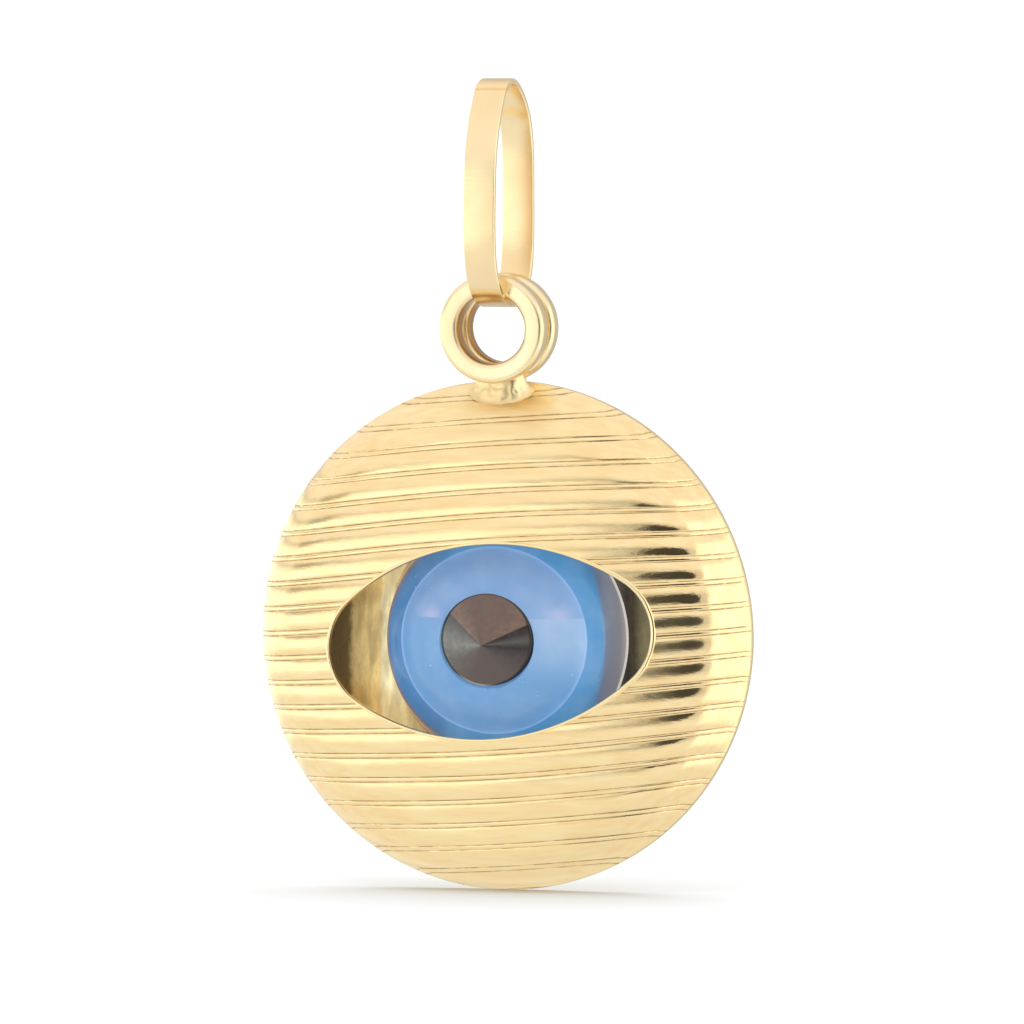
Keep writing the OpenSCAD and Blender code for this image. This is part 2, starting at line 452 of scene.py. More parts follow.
def blank_mesh():
    """The flat grid; each point keeps its place across the lines as an attribute."""
    rows = row_values()
    points, across = [], []

    def add(s, v, t):
        x, z = tilted(s, v, TILT)
        points.append((x, 0, z))
        across.append(t)

    for t in rows:
        reach = math.sqrt(CASE_R ** 2 - (SHIFT + t) ** 2)
        for j in range(COLUMNS + 1):
            s = reach * math.sin(math.radians(-90 + 180 * j / COLUMNS))
            add(s, line_height(t, s), t)
    w = COLUMNS + 1
    faces = [(i * w + j, i * w + j + 1, (i + 1) * w + j + 1, (i + 1) * w + j)
             for i in range(len(rows) - 1) for j in range(COLUMNS)]
    for row, way in ((0, -1), (len(rows) - 1, 1)):
        add(0, way * CASE_R, way * CASE_R - SHIFT)
        pole, base = len(points) - 1, row * w
        faces += [(pole, base + j + (way < 0), base + j + (way > 0))
                  for j in range(COLUMNS)]
    mesh = mesh_from("blank", points, faces)
    mark = mesh.attributes.new("across", "FLOAT", "POINT")
    mark.data.foreach_set("value", across)
    return mesh


blank = blank_mesh()
print("blank: %d points" % len(blank.vertices))

# %% [markdown]
# ## The stamped dome: the die
# The die is a rule, so it is made as a Geometry Nodes tree. The dome is a wide crown arc
# that runs smoothly into a tight shoulder arc. Each point of the blank is lifted on to the
# arc that its distance from the middle calls for, and then pushed in along the surface:
# by a flat channel where a groove runs, and by the cushion shape of the ribs between.
# A slow noise makes the ribs a little uneven, as hand polishing does.

# %% The die's arcs
crown_c = DOME_H - CROWN_R
reach_c = math.hypot(CASE_R, crown_c)
along = ((CROWN_R - SHOULDER_R) ** 2 - SHOULDER_R ** 2 + reach_c ** 2) / (2 * reach_c)
off = math.sqrt((CROWN_R - SHOULDER_R) ** 2 - along ** 2)
shoulder_x = (along * CASE_R + off * crown_c) / reach_c
shoulder_y = crown_c + (off * CASE_R - along * crown_c) / reach_c
turn_r = shoulder_x * CROWN_R / (CROWN_R - SHOULDER_R)


def dome(r):
    """Height over the rim and slope (as a sine) of the plain dome, r from the middle."""
    if r < turn_r:
        return crown_c + math.sqrt(CROWN_R ** 2 - r * r), r / CROWN_R
    d = min(r - shoulder_x, SHOULDER_R)
    return shoulder_y + math.sqrt(SHOULDER_R ** 2 - d * d), d / SHOULDER_R


print("arcs meet at r %.3f, height %.3f" % (turn_r, dome(turn_r)[0]))

# %% The die as a tree
def die_tree(values):
    s, i = new_tree("Stamping die", values)
    x, _, z = s.in_mm(s.put("GeometryNodeInputPosition"))
    r = s.maximum(s.length(x, z), 0.0001)
    d = s.minimum(s.subtract(r, i["Shoulder out"]), i["Shoulder radius"])
    low = s.greater_than(r, i["Arcs meet"])

    def arc(centre, radius, across):
        square = s.subtract(s.multiply(radius, radius), s.multiply(across, across))
        return s.add(centre, s.sqrt(square))

    def either(crown, shoulder):
        return s.add(s.multiply(crown, s.subtract(1.0, low)), s.multiply(shoulder, low))

    def drift(across, along, seed):
        """Slow noise over the dome, 0 to 1."""
        spot = s.point(s.multiply(x, across), along, s.add(i["Seed"], seed))
        return s.grain(spot, 1.0, 1.0, 0.5)

    def drawn_in(v):
        """x or z of a point that has been pushed in along the surface's lean."""
        return s.subtract(v, s.divide(s.product(push, lean, v), r))

    lift = either(arc(i["Crown centre"], i["Crown radius"], r),
                  arc(i["Shoulder up"], i["Shoulder radius"], d))
    lean = either(s.divide(r, i["Crown radius"]), s.divide(d, i["Shoulder radius"]))
    face = s.sqrt(s.subtract(1.0, s.multiply(lean, lean)))
    t = s.put("GeometryNodeInputNamedAttribute", "across", data_type="FLOAT")
    q = s.divide(t, i["Groove pitch"])
    k = s.round(q)
    tau = s.multiply(s.absolute(s.subtract(q, k)), i["Groove pitch"])
    half = s.multiply(i["Groove pitch"], 0.5)
    edge = s.multiply(i["Groove width"], 0.5)
    line = s.smooth(s.absolute(s.subtract(tau, edge)), 0.0, i["Groove edge"], 1.0, 0.0)
    bed = s.subtract(1.0, s.minimum(s.divide(tau, edge), 1.0))
    bed = s.multiply(bed, s.subtract(2.0, bed))
    side = s.minimum(s.divide(s.subtract(half, tau), s.subtract(half, edge)), 1.0)
    wave = s.subtract(drift(0.35, s.multiply(k, 1.7), 0.0), 0.5)
    push = s.multiply(s.multiply(i["Rib crown"], s.multiply(side, side)),
                      s.add(1.0, s.multiply(wave, s.multiply(i["Unevenness"], 60.0))))
    push = s.add(push, s.multiply(line, i["Groove depth"]))
    push = s.subtract(push, s.multiply(bed, i["Groove crown"]))
    push = s.add(push, s.multiply(drift(0.8, s.multiply(t, 1.1), 9.0), i["Unevenness"]))
    push = s.add(push, s.multiply(drift(0.45, s.multiply(t, 4.2), 3.0), i["Streaks"]))
    push = s.multiply(push, s.smooth(lift, 0.02, 0.3))
    new_y = s.subtract(i["Rim depth"], s.subtract(lift, s.multiply(push, face)))
    new = s.point(drawn_in(x), new_y, s.add(drawn_in(z), i["Height"]))
    stored = s.put("GeometryNodeStoreNamedAttribute", i["Geometry"], None, "engraved",
                   line, data_type="FLOAT", domain="POINT")
    moved = s.put("GeometryNodeSetPosition", stored, None, s.scaled(new, MM))
    return finish_tree(s, moved, i["Material"])


# %% Press the blank
pressed = grown("dome_skin", blank, die_tree, {
    "Crown radius": CROWN_R, "Crown centre": crown_c, "Shoulder radius": SHOULDER_R,
    "Shoulder out": shoulder_x, "Shoulder up": shoulder_y, "Arcs meet": turn_r,
    "Groove pitch": PITCH, "Groove width": GROOVE_W, "Groove depth": 0.012,
    "Groove edge": 0.024, "Groove crown": 0.012, "Rib crown": 0.034,
    "Unevenness": 0.008, "Streaks": 0.008,
    "Rim depth": RIM_Y, "Height": CASE_Z, "Seed": 4.0, "Material": dome_gold})
print("pressed skin: %d points" % len(pressed.vertices))

# %% [markdown]
# ## The stamped dome: sheet and window
# The skin needs the thickness of the sheet and the almond window. The inside is a second
# skin, one sheet below the plain dome, joined to the first along the rim. The window is
# cut with a boolean, as a saw cuts it. The cutter is a straight tube a hair wider than the
# almond, because the lip that comes next covers the sawn edge.

# %% Give the skin its sheet
SKIRT, INSIDE_Y = 0.06, BACK_Y - 0.28


def sheet_mesh(skin):
    bm = bmesh.new()
    bm.from_mesh(skin)
    bmesh.ops.remove_doubles(bm, verts=bm.verts, dist=1e-8)
    outer = list(bm.verts)
    rim = [e for e in bm.edges if e.is_boundary]
    faces = list(bm.faces)
    twin = {}
    for v in outer:
        x, z = v.co.x / MM, v.co.z / MM - CASE_Z
        r = max(math.hypot(x, z), 1e-6)
        h, lean = dome(min(r, CASE_R))
        face = math.sqrt(max(1 - lean * lean, 0))
        keep = 1 - SHEET_T * lean / r
        y = RIM_Y - (h - SHEET_T * face)
        twin[v] = bm.verts.new((x * keep * MM, min(y, INSIDE_Y) * MM,
                                (z * keep + CASE_Z) * MM))
    skirt = {}
    for e in rim:
        for v in e.verts:
            if v not in skirt:
                skirt[v] = bm.verts.new((v.co.x, (RIM_Y + SKIRT) * MM, v.co.z))
    for f in faces:
        bm.faces.new([twin[v] for v in reversed(f.verts)])
    for e in rim:
        a, b = e.verts
        if e.link_loops[0].vert is b:
            a, b = b, a
        bm.faces.new((b, a, skirt[a], skirt[b]))
        bm.faces.new((skirt[b], skirt[a], twin[a], twin[b]))
    bmesh.ops.recalc_face_normals(bm, faces=bm.faces)
    mesh = bpy.data.meshes.new("dome_sheet")
    bm.to_mesh(mesh)
    bm.free()
    mesh.materials.append(dome_gold)
    return mesh


sheet = sheet_mesh(pressed)
print("sheet: %d faces" % len(sheet.polygons))

# %% The almond outline
HALF_W, HALF_H, TIP_R, EYE_TILT = 5.23, 3.02, 1.9, math.radians(5.3)
LID_R = (HALF_W ** 2 + HALF_H ** 2 - 2 * HALF_W * TIP_R) / (2 * (HALF_H - TIP_R))
LID_TURN = math.atan2(LID_R - HALF_H, HALF_W - TIP_R)


def almond(grow, tip_steps=24, lid_steps=60):
    """Points of the window's outline, grown outwards, counter-clockwise."""
    arcs = [
        ((HALF_W - TIP_R, 0), TIP_R, -LID_TURN, LID_TURN, tip_steps),
        ((0, HALF_H - LID_R), LID_R, LID_TURN, math.pi - LID_TURN, lid_steps),
        ((TIP_R - HALF_W, 0), TIP_R, math.pi - LID_TURN, math.pi + LID_TURN, tip_steps),
        ((0, LID_R - HALF_H), LID_R, math.pi + LID_TURN, 2 * math.pi - LID_TURN, lid_steps)]
    pts = []
    for (cx, cz), rad, a0, a1, steps in arcs:
        for n in range(steps):
            a = a0 + (a1 - a0) * n / steps
            pts.append(tilted(cx + (rad + grow) * math.cos(a),
                              cz + (rad + grow) * math.sin(a), EYE_TILT))
    return pts


def cutter_mesh(grow=0.03):
    """A straight tube along the outline, a hair wider than the almond."""
    base = almond(grow)
    n = len(base)
    points = [(x, y, z + EYE_Z) for y in (RIM_Y - 1.0, RIM_Y - DOME_H - 1) for x, z in base]
    faces = tube_faces(2, n) + [tuple(range(n))[::-1], tuple(range(n, 2 * n))]
    return outwards(mesh_from("window_cutter", points, faces))


# %% Cut the window
def cut(name, mesh, cutter):
    """The mesh without what lies inside the cutter."""
    body, tool = linked("body", mesh), linked("tool", cutter)
    mod = body.modifiers.new("window", "BOOLEAN")
    mod.operation, mod.object, mod.solver = "DIFFERENCE", tool, "EXACT"
    result = applied(name, body)
    bpy.data.objects.remove(tool)
    return result


case_front = shaded(cut("case_front", sheet, cutter_mesh()), 32)
show("case_front", case_front, "drop", "case_gold", "ring_case")

# %% [markdown]
# ## The burnished lip of the window
# The edge of the window has been rubbed smooth, so a narrow bright lip runs all the way
# round it, whatever groove it crosses. A small rounded profile swept along the outline
# gives just that. The profile stands on the dome, so the sweep needs the direction that
# points straight out of the dome, and that is the line from the middle of the crown's ball.

# %% Sweeping helpers
def rounded_block(s, wide, high, edge, count):
    """A rounded rectangle as a profile; sizes in metres."""
    block = s.put("GeometryNodeCurvePrimitiveQuadrilateral", wide, high)
    return s.put("GeometryNodeFilletCurve", block, count, edge, mode="POLY")


def path_curve(name, pts, radius=None):
    """A closed line through points in millimetres; the radius widens what is swept."""
    curve = bpy.data.curves.new(name, "CURVE")
    curve.dimensions = "3D"
    spline = curve.splines.new("POLY")
    spline.points.add(len(pts) - 1)
    for p, (x, y, z) in zip(spline.points, pts):
        p.co = (x * MM, y * MM, z * MM, 1)
        p.radius = radius(x) if radius else 1.0
    spline.use_cyclic_u = True
    return curve

# %% Lip tree
def lip_tree(values):
    s, i = new_tree("Window lip", values)
    middle = s.point(0.0, s.metres(i["Ball middle"]), s.metres(i["Height"]))
    spot = s.put("GeometryNodeInputPosition")
    out_way = s.vector("NORMALIZE", s.vector("SUBTRACT", spot, middle))
    path = s.put("GeometryNodeSetCurveNormal", i["Geometry"], None, out_way, mode="FREE")
    block = rounded_block(s, s.metres(i["Lip depth"]), s.metres(i["Lip width"]),
                          s.metres(i["Edge"]), 6)
    shift = s.point(s.metres(s.subtract(i["Proud"], s.multiply(i["Lip depth"], 0.5))),
                    s.metres(s.multiply(i["Lip width"], 0.5)), 0.0)
    block = s.put("GeometryNodeTransform", block, shift)
    radius = s.put("GeometryNodeInputRadius")
    lip = s.put("GeometryNodeCurveToMesh", path, block, radius)
    return finish_tree(s, lip, i["Material"])


# %% Sweep the lip
edge_line = [(x, RIM_Y - dome(math.hypot(x, z + EYE_Z - CASE_Z))[0], z + EYE_Z)
             for x, z in almond(0)]


def lip_share(x):
    """The lip is widest at the right-hand tip."""
    t = min(max((x - 2.2) / 2.9, 0), 1)
    return 1.0 + (1.0 + 0.8 * noise.noise((x * 7, 0, 2.0))) * t * t * (3 - 2 * t)


lip = grown("window_lip", path_curve("edge line", edge_line, lip_share), lip_tree, {
    "Lip width": 0.095, "Lip depth": 0.17, "Proud": 0.006, "Edge": 0.044,
    "Ball middle": RIM_Y - crown_c, "Height": CASE_Z, "Material": plain_gold})
show("window_lip", tidy(lip), "drop", "case_gold", "ring_case")

# %% [markdown]
# ## Turned pieces
# The back plate and the three pieces of the eye are round, so each is a profile turned
# about the axis that points to the front. A profile is a short list of points: how far
# from the axis and how deep in Y. Corners get a small radius from a helper, since a real
# edge always catches a line of light.

# %% Turning helpers
def bend(a, b, c, t):
    """The point t of the way along a curve from a towards b to c."""
    return a * (1 - t) ** 2 + b * 2 * t * (1 - t) + c * t * t


def rounded(profile, radius, steps=4):
    """Round the inner corners of an open profile."""
    pts = [Vector(p) for p in profile]
    out = [pts[0]]
    for a, b, c in zip(pts, pts[1:], pts[2:]):
        u, v = (a - b), (c - b)
        d = min(radius, u.length * 0.45, v.length * 0.45)
        p, q = b + u.normalized() * d, b + v.normalized() * d
        out += [bend(p, b, q, n / steps) for n in range(steps + 1)]
    return out + [pts[-1]]


def turned(name, profile, centre_z, segments=192, shear=(0, 0), from_y=0.0):
    """Turn a profile of (radius, y) that starts and ends on the axis; shear leans it."""
    def place(across, up, y):
        lean = max(from_y - y, 0)
        return across + shear[0] * lean, y, centre_z + up + shear[1] * lean

    inner = [p for p in profile if p[0] > 1e-6]
    turns = [2 * math.pi * j / segments for j in range(segments)]
    points = [place(r * math.cos(a), r * math.sin(a), y) for r, y in inner for a in turns]
    points += [place(0, 0, y) for _, y in (profile[0], profile[-1])]
    faces = tube_faces(len(inner), segments)
    last, pole = (len(inner) - 1) * segments, len(inner) * segments
    for j in range(segments):
        k = (j + 1) % segments
        faces += [(pole, k, j), (pole + 1, last + j, last + k)]
    return outwards(mesh_from(name, points, faces))


# %% [markdown]
# ## Back plate
# A hollow pendant is closed behind by a flat disc, soldered round the rim. The seam shows
# as a fine line on the side wall, so the plate starts a hair behind the front's skirt.
# Inside, on the left, the plate curls up like a shallow trough. The metal in there was never
# polished, and its colour is painted reflection and shade: pale beside the stone, tan further out
# and dark in the corner; right of the stone it is painted near black, turning olive further out.
# A painted glow stands for light that has gone through the glass, above and below the eye's
# middle.

# %% Gold inside the case
def inside_gold():
    mat, s, place = new_material("gold inside the case")
    x, _, z = s.in_mm(place)
    streak = s.grain(s.stretched(place, 1.0, 0.25), 3800.0)
    ragged = s.grain(place, 2600.0, 4.0)
    x = s.add(x, s.multiply(s.subtract(ragged, 0.5), 0.30))
    # Painted reflection and shade along x: dark in the left corner, tan, pale beside the stone,
    # near black right of the stone, olive further out.
    colour = s.ramp(s.share(x, -6.0, 6.0), [
        (0.0, (0.32, 0.22, 0.08)), (0.076, (0.30, 0.21, 0.08)), (0.087, (0.92, 0.69, 0.28)),
        (0.13, (0.86, 0.65, 0.27)), (0.157, (0.88, 0.66, 0.28)), (0.163, (1.0, 0.92, 0.56)),
        (0.5, (0.9, 0.75, 0.42)), (0.828, (0.02, 0.016, 0.009)), (0.845, (0.03, 0.025, 0.012)),
        (0.87, (0.20, 0.17, 0.085)), (0.91, (0.32, 0.28, 0.15))])
    colour = s.blend(s.smooth(streak, 0.35, 0.65, 0.0, 0.30), colour, (0.16, 0.11, 0.05))
    # A painted glow, above and below the eye's middle, for light that has come through the glass.
    painted_glow = s.product(s.smooth(s.absolute(s.subtract(z, EYE_Z)), 0.4, 1.8, 0.0, 0.5),
                     s.smooth(x, -4.8, -4.2, 0.2, 1.0), s.smooth(x, -5.4, -1.0, 1.0, 0.0))
    return set_shader(mat, {
        "Base Color": colour, "Roughness": s.smooth(streak, 0.3, 0.7, 0.24, 0.36),
        "Metallic": 0.55, "Emission Color": colour, "Emission Strength": painted_glow})


# %% Back plate
PLATE_FRONT, FLOOR_Y = RIM_Y + 0.075, BACK_Y - SHEET_T
INNER_R, OUTER_R = CASE_R - 0.35, CASE_R - 0.004
CURL_FROM, CURL_LENGTH, CURL, CURL_END = 4.05, 1.9, 0.13, 7.2
plate = turned("case_back", rounded(
    [(0, FLOOR_Y)] + [(3.9 + 0.15 * n, FLOOR_Y) for n in range(24)]
    + [(INNER_R, FLOOR_Y), (INNER_R, PLATE_FRONT), (OUTER_R, PLATE_FRONT),
       (OUTER_R, BACK_Y), (0, BACK_Y)], 0.05), CASE_Z)
for v in plate.vertices:
    r = math.hypot(v.co.x, v.co.z - CASE_Z * MM) / MM
    if abs(v.co.y / MM - FLOOR_Y) < 0.001 and v.co.x < 0 and 3.8 < r < CURL_END:
        u = min(max(-v.co.x / MM - CURL_FROM, 0), CURL_LENGTH)
        v.co.y -= CURL * u * u * min(CURL_END - r, 1) * MM
plate.materials.append(plain_gold)
plate.materials.append(inside_gold())
inside = [all(plate.vertices[n].co.y < (FLOOR_Y + 0.01) * MM for n in f.vertices)
          for f in plate.polygons]
plate.polygons.foreach_set("material_index", [int(i) for i in inside])
show("case_back", shaded(plate, 50), "drop", "case_gold", "ring_case")

# %% [markdown]
# ## The pair of rings
# The two rings are the same thick washer with rounded edges. One tree sweeps a rounded
# rectangle along a circle and sets a copy at each place of a short line, front and rear.

# %% Ring tree
def worn(s, geometry, fine, amount):
    """Move every point a little by a slow noise, as years of wear do."""
    shift = s.vector("SUBTRACT", s.grain(None, fine, 1.0, 0.5, out=1), (0.5, 0.5, 0.5))
    return s.put("GeometryNodeSetPosition", geometry, None, None, s.scaled(shift, amount))


def ring_tree(values):
    s, i = new_tree("Pair of rings", values)
    outer, inner = i["Outer radius"], i["Inner radius"]
    path_r = s.metres(s.multiply(s.add(outer, inner), 0.5))
    path = s.put("GeometryNodeCurvePrimitiveCircle", i["Segments"], None, None, None,
                 path_r, mode="RADIUS")
    block = rounded_block(s, s.metres(s.subtract(outer, inner)),
                          s.metres(i["Thickness"]), s.metres(i["Edge"]), 8)
    ring = s.put("GeometryNodeCurveToMesh", path, block)
    ring = s.put("GeometryNodeTransform", ring, None, (math.pi / 2, 0, 0))
    step = s.add(i["Thickness"], i["Space"])
    start = s.point(0.0, s.multiply(step, -0.5 * MM), s.metres(i["Height"]))
    apart = s.point(0.0, s.metres(step), 0.0)
    line = s.put("GeometryNodeMeshLine", 2, None, start, apart, mode="OFFSET",
                 count_mode="TOTAL")
    pair = s.put("GeometryNodeInstanceOnPoints", line, None, ring)
    real = s.put("GeometryNodeRealizeInstances", pair)
    real = worn(s, real, 1500.0, s.metres(i["Wear"]))
    return finish_tree(s, real, i["Material"])


# %% Make the rings
pair = grown("ring_pair", mesh_from("seed", [(0, 0, 0)], []), ring_tree, {
    "Outer radius": RING_R_OUT, "Inner radius": RING_R_IN, "Thickness": RING_T,
    "Edge": 0.17, "Space": RING_SPACE, "Height": HOLE_Z, "Segments": 160, "Wear": 0.02,
    "Material": ring_gold})
show("ring_pair", tidy(pair), "drop", "case_gold", "ring_case")

# %% [markdown]
# ## Solder under the rings
# Where the rings are soldered on, the metal runs down on to the dome as a small fillet.
# It is a loft: a rounded section inside the foot of the rings, a waist, and a wider foot
# that lies on the dome. Each side line is a curve that starts upright and ends almost
# along the dome, and a little noise keeps it from looking machined.

# %% Solder fillet
def on_dome(x, y):
    """Height of the case's surface over (x, y), on the upper side of the dome."""
    if y >= RIM_Y:
        r = CASE_R
    else:
        lo, hi = 0.0, CASE_R
        for _ in range(40):
            mid = (lo + hi) / 2
            lo, hi = (mid, hi) if dome(mid)[0] > RIM_Y - y else (lo, mid)
        r = lo
    return CASE_Z + math.sqrt(max(r * r - x * x, 0))


def solder_mesh(around=144, steps=26):
    top_z = HOLE_Z - RING_R_OUT + 0.30
    points = []
    for u in range(steps + 1):
        t = u / steps
        for j in range(around):
            a = 2 * math.pi * j / around
            c, s = math.cos(a), math.sin(a)
            lobe = 1 + 0.07 * noise.noise((c * 1.3, s * 1.3, 5.0)) + 0.05 * noise.noise(
                (c * 4, s * 4, 1.0))
            waist = Vector((0.80 * math.copysign(abs(c) ** 0.8, c),
                            0.28 + 0.44 * math.copysign(abs(s) ** 0.8, s)))
            foot = Vector((1.08 * c * lobe, 0.30 + 0.60 * s * lobe))
            top = Vector((waist.x * 0.92, waist.y * 1.25 - 0.06, top_z))
            waist_z = min(on_dome(waist.x, waist.y) - 0.02, top_z - 0.1)
            p = bend(top, Vector((*waist, waist_z)),
                     Vector((*foot, on_dome(foot.x, foot.y) - 0.025)), t)
            k = noise.noise(p * 2.6) * 0.050 + noise.noise(p * 6.5) * 0.024
            p += Vector((c, s, 0.3)) * k * min(1, 3 * t) * min(1, 2.2 * (1 - t) ** 1.5)
            points.append(p)
    ends = [tuple(range(around)), tuple(range(steps * around, (steps + 1) * around))[::-1]]
    return mesh_from("solder_fillet", points, tube_faces(steps + 1, around) + ends)


solder = tidy(solder_mesh(), 70)
solder.materials.append(solder_gold)
show("solder_fillet", solder, "drop", "case_gold", "ring_case")

# %% [markdown]
# ## The bail
# The bail is a flat strip bent by hand over a rod: a tight bend at the front of the top,
# rounder at the rear, and nearly straight sides. Its outline is a tight band round seven
# circles. The path runs along the middle of the strip, and a tree sweeps a rounded
# rectangle along it.

# %% The loop's path
STRIP_W, STRIP_T = 1.0, 0.2
FRONT, REAR = -bail_lo.y, bail_hi.y
DEEP, TALL = FRONT + REAR, bail_hi.z - bail_lo.z
TOP, FOOT = bail_hi.z, bail_lo.z
LOOP = [
    (-0.011 * DEEP, TOP - 0.108 * DEEP, 0.138 * DEEP),
    (0.298 * DEEP - FRONT, TOP - 0.106 * DEEP, 0.026 * DEEP),
    (0.48 * DEEP - FRONT, TOP - 0.351 * TALL, 0.449 * DEEP),
    (0.494 * DEEP - FRONT, TOP - 0.59 * TALL, 0.494 * DEEP),
    (0.419 * DEEP - FRONT, FOOT + 0.414 * DEEP, 0.414 * DEEP),
    (REAR - 0.368 * DEEP, FOOT + 0.368 * DEEP, 0.368 * DEEP),
    (REAR - 0.391 * DEEP, TOP - 0.302 * TALL, 0.391 * DEEP)]


def loop_points(inset, step=3.0):
    """Points (y, z) of the band round the circles, inset from its outside."""
    turns = []
    for (ay, az, ar), (by, bz, br) in zip(LOOP, LOOP[1:] + LOOP[:1]):
        way, gap = math.atan2(bz - az, by - ay), math.hypot(by - ay, bz - az)
        turns.append(math.degrees(way - math.acos((ar - br) / gap)))
    pts = []
    for n, (cy, cz, rad) in enumerate(LOOP):
        a0, a1 = turns[n - 1], turns[n]
        while a1 < a0:
            a1 += 360
        while a1 - a0 > 360:
            a1 -= 360
        count = max(2, math.ceil((a1 - a0) / step))
        for m in range(count + 1):
            a = math.radians(a0 + (a1 - a0) * m / count)
            pts.append((cy + (rad - inset) * math.cos(a), cz + (rad - inset) * math.sin(a)))
    return pts


path = [(0, y, z) for y, z in loop_points(STRIP_T / 2)]
print("loop path: %d points" % len(path))

# %% Strip tree
def strip_tree(values):
    s, i = new_tree("Bent strip", values)
    path = s.put("GeometryNodeResampleCurve", i["Geometry"], None, None,
                 s.metres(i["Step"]), mode="LENGTH")
    spot = s.put("GeometryNodeInputPosition")
    fold = s.point(0.0, s.metres(i["Fold depth"]), s.metres(i["Fold height"]))
    free = s.smooth(s.vector("DISTANCE", spot, fold, out=1), 0.15 * MM, 1.0 * MM, 0.03, 1.0)
    soft = s.put("GeometryNodeBlurAttribute", spot, i["Softness"], free,
                 data_type="FLOAT_VECTOR")
    middle = s.point(0.0, s.metres(i["Middle depth"]), s.metres(i["Middle height"]))
    arm = s.scaled(s.vector("SUBTRACT", soft, middle), i["Swell"])
    path = s.put("GeometryNodeSetPosition", path, None, s.vector("ADD", middle, arm))
    path = s.put("GeometryNodeSetCurveNormal", path, mode="MINIMUM_TWIST")
    block = rounded_block(s, s.metres(i["Width"]), s.metres(i["Thickness"]),
                          s.metres(i["Edge"]), 4)
    strip = worn(s, s.put("GeometryNodeCurveToMesh", path, block), 900.0,
                 s.metres(i["Wear"]))
    return finish_tree(s, strip, i["Material"])


strip = grown("bail_strip", path_curve("loop", path), strip_tree, {
    "Width": STRIP_W, "Thickness": STRIP_T, "Edge": 0.045, "Step": 0.1, "Softness": 70,
    "Fold depth": LOOP[1][0] - 0.1, "Fold height": LOOP[1][1] + 0.1, "Wear": 0.016,
    "Middle depth": (REAR - FRONT) / 2, "Middle height": (TOP + FOOT) / 2, "Swell": 1.02,
    "Material": strip_gold})
show("bail_strip", tidy(strip), "bail", "bail_gold", "bail")

# %% [markdown]
# ## The glass eye
# The eye is a low dome of blue glass. Seen from the front it has a deep blue edge, a paler
# iris with a fine bright outline, and a dark pupil like a low cone, whose point sits a
# little off the middle. The colours follow the distance from the eye's axis, so the
# shaders measure it on Object coordinates. Light goes into milky glass and comes out
# softly all over; a weak glow in the material stands for that and renders fast.

# %% Milky glass
def glass(name, low, high, stops, left=None, wide=1.0):
    """Stops run from low to high, in mm from the eye's axis; left is for its left side, whose
    stops are painted reflection of the gold and painted shade.
    """
    mat, s, place = new_material(name)
    x, _, z = s.in_mm(place)
    x, z = s.divide(x, wide), s.subtract(z, EYE_Z)
    r = s.length(x, z)
    t = s.share(r, low, high)
    haze = s.smooth(s.grain(place, 900.0, 3.0, 0.55), 0.35, 0.75, 0.0, 0.12)
    if left:
        flat = s.multiply(z, s.smooth(x, 0.2, 2.2, 1.0, 0.82))
        band = s.share(s.length(x, flat), low, high)
        colour = s.blend(s.smooth(x, -1.0, -2.0), s.ramp(band, stops), s.ramp(t, left))
        # A painted highlight runs along the right edge of the glass.
        edge = s.multiply(s.smooth(r, 3.925, 3.945), s.smooth(x, 0.5, 1.5))
        colour = s.blend(edge, colour, (0.98, 0.93, 0.88))
    else:
        # The iris's upper half is tinted lilac, with two small lilac patches just above the
        # middle, either side: painted reflection.
        colour = s.blend(s.smooth(z, 0.1, 1.2, 0.0, 0.35), s.ramp(t, stops), (0.24, 0.32, 0.54))
        lit = s.product(s.smooth(z, 0.70, 0.74), s.smooth(z, 0.8, 1.25, 1.0, 0.0),
                        s.between(s.absolute(s.subtract(x, 0.15)), 1.7, 2.3, 0.3), 0.5)
        colour = s.blend(lit, colour, (0.50, 0.48, 0.68))
        # The iris is also paler on its right, most of all below the lilac patches.
        haze = s.add(haze, s.product(s.smooth(x, 0.6, 2.0), s.smooth(z, 0.76, 0.68, 0.2, 1.0),
                                     s.smooth(z, -1.6, 0.2), 0.32))
    colour = s.blend(haze, colour, (0.58, 0.68, 0.80))
    specks = s.smooth(s.grain(place, 6500.0, 2.0, 0.5), 0.735, 0.78, 0.0, 0.55)
    colour = s.blend(specks, colour, (0.85, 0.88, 0.92))
    return set_shader(mat, {
        "Base Color": s.blend(0.35, colour, (0, 0, 0)), "Roughness": 0.05,
        "IOR": 1.5, "Specular IOR Level": 0.35, "Subsurface Weight": 0.5,
        "Subsurface Radius": (1.0, 1.0, 1.0), "Subsurface Scale": 0.0012,
        "Emission Color": colour, "Emission Strength": 0.57})


IRIS_WIDE = 1.034
edge_glass = glass("blue glass", 2.8, 4.0, [
    (0.0, (0.10, 0.31, 0.60)), (0.55, (0.10, 0.31, 0.58)), (0.62, (0.20, 0.24, 0.36)),
    (0.70, (0.25, 0.27, 0.35)), (0.85, (0.30, 0.30, 0.33)), (0.94, (0.50, 0.46, 0.44))],
    left=[(0.0, (0.08, 0.24, 0.50)), (0.56, (0.085, 0.22, 0.45)), (0.64, (0.26, 0.18, 0.18)),
          (0.72, (0.30, 0.15, 0.09)), (0.82, (0.24, 0.12, 0.07)), (0.87, (0.06, 0.03, 0.02)),
          (1.0, (0.05, 0.025, 0.018))])
iris_glass = glass("pale blue glass", 1.4, 3.0, [
    (0.0, (0.135, 0.30, 0.55)), (0.5, (0.14, 0.31, 0.55)), (0.90, (0.15, 0.32, 0.56)),
    (0.925, (0.23, 0.39, 0.62)), (0.945, (0.23, 0.39, 0.62)), (0.96, (0.13, 0.30, 0.54))],
    wide=IRIS_WIDE)

# %% Smoky glass
APEX, PUPIL_UP = (-0.057, -0.098), 0.07


